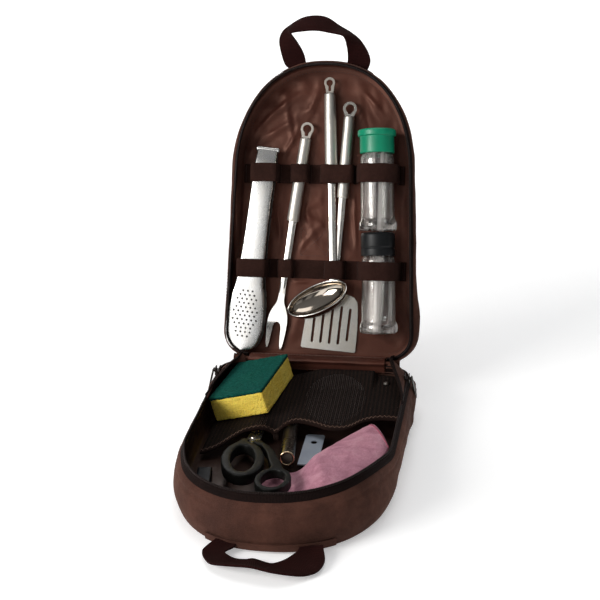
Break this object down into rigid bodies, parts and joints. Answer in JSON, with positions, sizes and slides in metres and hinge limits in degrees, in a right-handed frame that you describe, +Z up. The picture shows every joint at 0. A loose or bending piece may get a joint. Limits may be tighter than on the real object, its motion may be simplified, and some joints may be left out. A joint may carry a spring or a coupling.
{
  "type": "camping utensil storage bag",
  "caption": "Zip-round canvas bag that opens flat on a fabric hinge, with elastic loops for cooking utensils and shakers in its lid and a net pocket and kit in its base.",
  "frame": {"origin": "middle of the base's floor, on the ground plane", "axes": "+X to the right seen from the bag's front, -Y the front where the zip ends its run, +Z up"},
  "size_m": [0.2202, 0.4972, 0.4042],
  "materials": {
    "canvas": "matte woven canvas",
    "satin_lining": "satin weave, slightly glossy",
    "webbing": "ribbed webbing",
    "zip_tape": "matte tape",
    "zip_coil": "satin",
    "elastic": "ribbed elastic",
    "net": "fine net",
    "pad": "foam sheet",
    "dark_metal": "dark satin",
    "stud_metal": "satin",
    "polished_steel": "polished",
    "satin_steel": "brushed",
    "jar_glass": "clear",
    "cap_green": "satin",
    "cap_black": "satin",
    "foam_yellow": "open-cell foam",
    "scour_green": "rough fibre",
    "towel_pink": "terry, matte",
    "grip_black": "satin",
    "paddle_plastic": "satin",
    "case_blue": "glossy"
  },
  "bodies": {
    "base": {"base_shell": "canvas", "base_pad": "pad", "base_lining": "satin_lining", "base_zip_tape": "zip_tape", "base_zip_coil": "zip_coil", "hinge_fabric": "canvas", "mesh_pocket": "net", "mesh_binding": "zip_tape", "pocket_tack": "webbing", "pocket_stud": "stud_metal", "base_handle_anchor": "webbing"},
    "lid": {"lid_shell": "canvas", "lid_pad": "pad", "lid_lining": "satin_lining", "lid_zip_tape": "zip_tape", "lid_zip_coil": "zip_coil", "strap_upper": "elastic", "strap_lower": "elastic", "lid_handle_anchor": "webbing", "back_patch": "webbing"},
    "base_grip": {"base_handle": "webbing"},
    "lid_grip": {"lid_handle": "webbing"},
    "slider_left": {"zip_slider_left": "dark_metal"},
    "slider_right": {"zip_slider_right": "dark_metal"},
    "pull_left": {"zip_pull_left": "dark_metal"},
    "pull_right": {"zip_pull_right": "dark_metal"},
    "tongs": {"tongs_rear_arm": "polished_steel", "tongs_pin": "satin_steel", "tongs_spring": "satin_steel"},
    "tongs_front": {"tongs_front_arm": "polished_steel"},
    "fork": {"fork_head": "polished_steel", "fork_stem": "polished_steel", "fork_handle": "satin_steel", "fork_hook": "satin_steel"},
    "turner": {"turner_blade": "polished_steel", "turner_stem": "polished_steel", "turner_handle": "satin_steel", "turner_hook": "satin_steel"},
    "ladle": {"ladle_bowl": "polished_steel", "ladle_stem": "polished_steel", "ladle_handle": "satin_steel", "ladle_hook": "satin_steel"},
    "green_shaker": {"shaker_green_jar": "jar_glass"},
    "green_cap": {"shaker_green_cap": "cap_green"},
    "black_shaker": {"shaker_black_jar": "jar_glass"},
    "black_cap": {"shaker_black_cap": "cap_black"},
    "cloth": {"towel": "towel_pink"},
    "scissors": {"scissor_blade_b": "polished_steel", "scissor_grip_b": "grip_black", "scissor_rivet": "satin_steel"},
    "scissors_half": {"scissor_blade_a": "polished_steel", "scissor_grip_a": "grip_black"},
    "sponge": {"sponge_foam": "foam_yellow", "sponge_scourer": "scour_green"},
    "knife": {"knife_handle": "satin_steel", "knife_blade": "polished_steel"},
    "plate_tool": {"steel_plate": "satin_steel"},
    "paddle": {"rice_paddle": "paddle_plastic"},
    "case": {"blue_case": "case_blue"}
  },
  "joints": [
    {"name": "lid_hinge", "type": "hinge", "parent": "base", "child": "lid", "pos_m": [0, 0.161, 0.044], "axis": [1, 0, 0], "range_deg": [-60, 106], "deforming": ["mesh_pocket", "mesh_binding", "pocket_tack", "pocket_stud", "strap_upper", "strap_lower"]},
    {"name": "base_handle_swing", "type": "hinge", "parent": "base", "child": "base_grip", "pos_m": [0, -0.1675, 0.0085], "axis": [-1, 0, 0], "range_deg": [0, 60]},
    {"name": "lid_handle_swing", "type": "hinge", "parent": "lid", "child": "lid_grip", "pos_m": [0, 0.27243, 0.35098], "axis": [-1, 0, 0], "range_deg": [-80, 85]},
    {"name": "zip_slider_left_run", "type": "slide", "parent": "base", "child": "slider_left", "axis": [0.035, -0.9994, 0], "range_m": [0, 0.15]},
    {"name": "zip_pull_left_swing", "type": "hinge", "parent": "slider_left", "child": "pull_left", "pos_m": [-0.10429, 0.12083, 0.044], "axis": [-0.035, 0.9994, 0], "range_deg": [0, 120]},
    {"name": "zip_slider_right_run", "type": "slide", "parent": "base", "child": "slider_right", "axis": [-0.035, -0.9994, 0], "range_m": [0, 0.15]},
    {"name": "zip_pull_right_swing", "type": "hinge", "parent": "slider_right", "child": "pull_right", "pos_m": [0.10429, 0.12083, 0.044], "axis": [-0.035, -0.9994, 0], "range_deg": [0, 120]},
    {"name": "tongs_out", "type": "slide", "parent": "lid", "child": "tongs", "axis": [-0.2, 0.9418, -0.2701], "range_m": [-0.045, 0], "deforming": ["strap_upper", "strap_lower"]},
    {"name": "tongs_squeeze", "type": "hinge", "parent": "tongs", "child": "tongs_front", "pos_m": [-0.0613, 0.23828, 0.25799], "axis": [0.9945, -0.0288, -0.1005], "range_deg": [0, 3.5], "stiffness_Nm_per_rad": 0.4, "springref_deg": -6.88, "deforming": ["tongs_spring", "strap_upper", "strap_lower"]},
    {"name": "fork_out", "type": "slide", "parent": "lid", "child": "fork", "axis": [0, 0.9613, -0.2756], "range_m": [-0.07, 0], "deforming": ["strap_upper", "strap_lower"]},
    {"name": "turner_out", "type": "slide", "parent": "lid", "child": "turner", "axis": [0, 0.9613, -0.2756], "range_m": [-0.07, 0], "deforming": ["strap_upper", "strap_lower"]},
    {"name": "ladle_out", "type": "slide", "parent": "turner", "child": "ladle", "axis": [0, 0.9613, -0.2756], "range_m": [-0.07, 0], "deforming": ["strap_upper", "strap_lower"]},
    {"name": "green_shaker_out", "type": "slide", "parent": "lid", "child": "green_shaker", "axis": [0, 0.9613, -0.2756], "range_m": [-0.07, 0], "deforming": ["strap_upper", "strap_lower"]},
    {"name": "green_cap_turn", "type": "hinge", "parent": "green_shaker", "child": "green_cap", "pos_m": [0.06175, 0.20541, 0.17711], "axis": [-0.0389, 0.2754, 0.9605], "range_deg": [-270, 0]},
    {"name": "black_shaker_out", "type": "slide", "parent": "lid", "child": "black_shaker", "axis": [0, 0.9613, -0.2756], "range_m": [-0.07, 0], "deforming": ["strap_upper", "strap_lower"]},
    {"name": "black_cap_turn", "type": "hinge", "parent": "black_shaker", "child": "black_cap", "pos_m": [0.066, 0.17531, 0.07215], "axis": [-0.0389, 0.2754, 0.9605], "range_deg": [-270, 0]},
    {"name": "cloth_out", "type": "slide", "parent": "base", "child": "cloth", "axis": [0, 0, -1], "range_m": [-0.07, 0], "deforming": ["mesh_pocket", "mesh_binding", "pocket_tack", "pocket_stud"]},
    {"name": "scissors_out", "type": "slide", "parent": "cloth", "child": "scissors", "axis": [0, 0, -1], "range_m": [-0.07, 0], "deforming": ["mesh_pocket", "mesh_binding", "pocket_tack", "pocket_stud"]},
    {"name": "scissors_open", "type": "hinge", "parent": "scissors", "child": "scissors_half", "pos_m": [-0.043, 0.021, 0.014], "axis": [0, 0.0698, 0.9976], "range_deg": [-12, 0], "deforming": ["mesh_pocket", "mesh_binding", "pocket_tack", "pocket_stud"]},
    {"name": "sponge_out", "type": "slide", "parent": "scissors", "child": "sponge", "axis": [0, 0, -1], "range_m": [-0.07, 0], "deforming": ["mesh_pocket", "mesh_binding", "pocket_tack", "pocket_stud"]},
    {"name": "knife_out", "type": "slide", "parent": "base", "child": "knife", "axis": [0, 0, -1], "range_m": [-0.07, 0], "deforming": ["mesh_pocket", "mesh_binding", "pocket_tack", "pocket_stud"]},
    {"name": "plate_tool_out", "type": "slide", "parent": "base", "child": "plate_tool", "axis": [0, 0, -1], "range_m": [-0.07, 0], "deforming": ["mesh_pocket", "mesh_binding", "pocket_tack", "pocket_stud"]},
    {"name": "paddle_out", "type": "slide", "parent": "base", "child": "paddle", "axis": [0, 0, -1], "range_m": [-0.07, 0], "deforming": ["mesh_pocket", "mesh_binding", "pocket_tack", "pocket_stud"]},
    {"name": "case_out", "type": "slide", "parent": "base", "child": "case", "axis": [0, 0, -1], "range_m": [-0.07, 0]}
  ]
}
